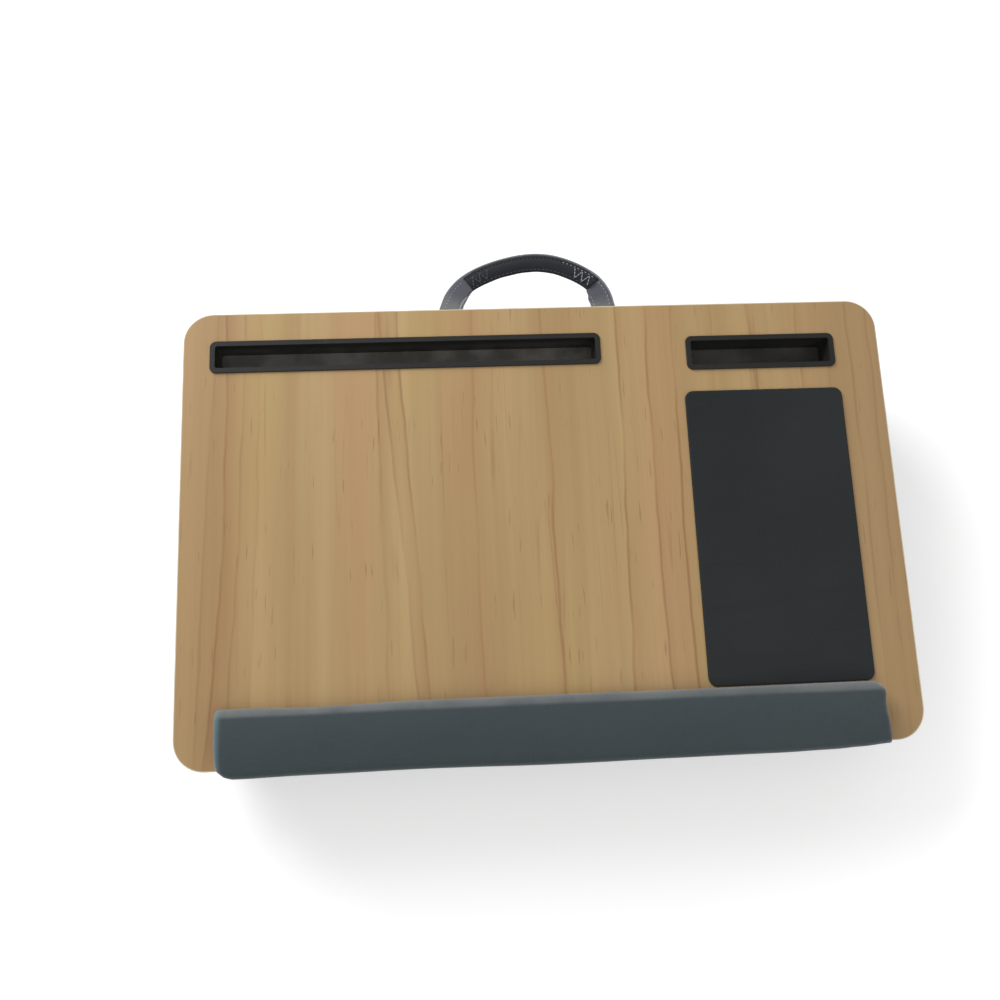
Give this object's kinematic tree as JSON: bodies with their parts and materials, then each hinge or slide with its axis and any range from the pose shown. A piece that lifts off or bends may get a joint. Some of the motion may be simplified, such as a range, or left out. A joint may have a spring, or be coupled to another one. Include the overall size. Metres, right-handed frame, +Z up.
{
  "type": "lap desk",
  "caption": "Tilted wood-grain lap desk with tablet and phone slots, a mouse pad, a padded wrist rest, a strap handle and a fabric base on two stuffed bolsters.",
  "frame": {"origin": "middle of the bottom of the whole desk's box, on the table that the two bolsters stand on", "axes": "+X to the user's right along the board's width, +Y away from the user to the back, +Z up; the board slopes up to the back by about 5.5 degrees"},
  "size_m": [0.55, 0.4019, 0.0936],
  "materials": {
    "wood_grain": "satin light-oak grain laminate, grain from front to back",
    "board_fibre": "pressed wood fibre board",
    "backing": "plain balancing paper laminate",
    "edge_trim": "satin pale wood-coloured edge band",
    "tray_plastic": "fine-textured black moulding",
    "pad_surface": "matte dark grey imitation leather",
    "pad_rubber": "black rubber foam",
    "rest_fabric": "dark blue-grey woven polyester",
    "foam": "white closed-cell foam",
    "tape": "double-sided adhesive tape",
    "base_fabric": "blue-grey woven polyester",
    "gusset_fabric": "blue-grey woven polyester with a topstitched seam",
    "welt": "pale grey fabric piping",
    "filling": "white fibre filling",
    "strap": "dark grey sewn strap with pale topstitching",
    "staple_wire": "zinc-plated wire"
  },
  "bodies": {
    "desk": {"backing_laminate": "backing", "base_foam": "foam", "base_panel": "base_fabric", "board_core": "board_fibre", "edge_band": "edge_trim", "front_bolster_cover": "base_fabric", "front_bolster_end_left": "base_fabric", "front_bolster_end_right": "base_fabric", "front_bolster_filling": "filling", "gusset_back": "gusset_fabric", "gusset_front": "gusset_fabric", "gusset_left": "gusset_fabric", "gusset_right": "gusset_fabric", "handle_tail_left": "strap", "handle_tail_right": "strap", "hem_staples": "staple_wire", "mouse_pad_backing": "pad_rubber", "mouse_pad_surface": "pad_surface", "phone_tray": "tray_plastic", "rear_bolster_cover": "base_fabric", "rear_bolster_end_left": "base_fabric", "rear_bolster_end_right": "base_fabric", "rear_bolster_filling": "filling", "side_welt_left": "welt", "side_welt_right": "welt", "tablet_tray": "tray_plastic", "tail_staples": "staple_wire", "wood_laminate": "wood_grain", "wrist_rest_cover": "rest_fabric", "wrist_rest_foam": "foam", "wrist_rest_tape": "tape"},
    "handle": {"handle_loop": "strap"}
  },
  "joints": [
    {"name": "handle_swing", "type": "hinge", "parent": "desk", "child": "handle", "pos_m": [-0.0045, 0.15169, 0.08275], "axis": [1, 0, 0], "range_deg": [-90, 90], "stiffness_Nm_per_rad": 0.04}
  ]
}
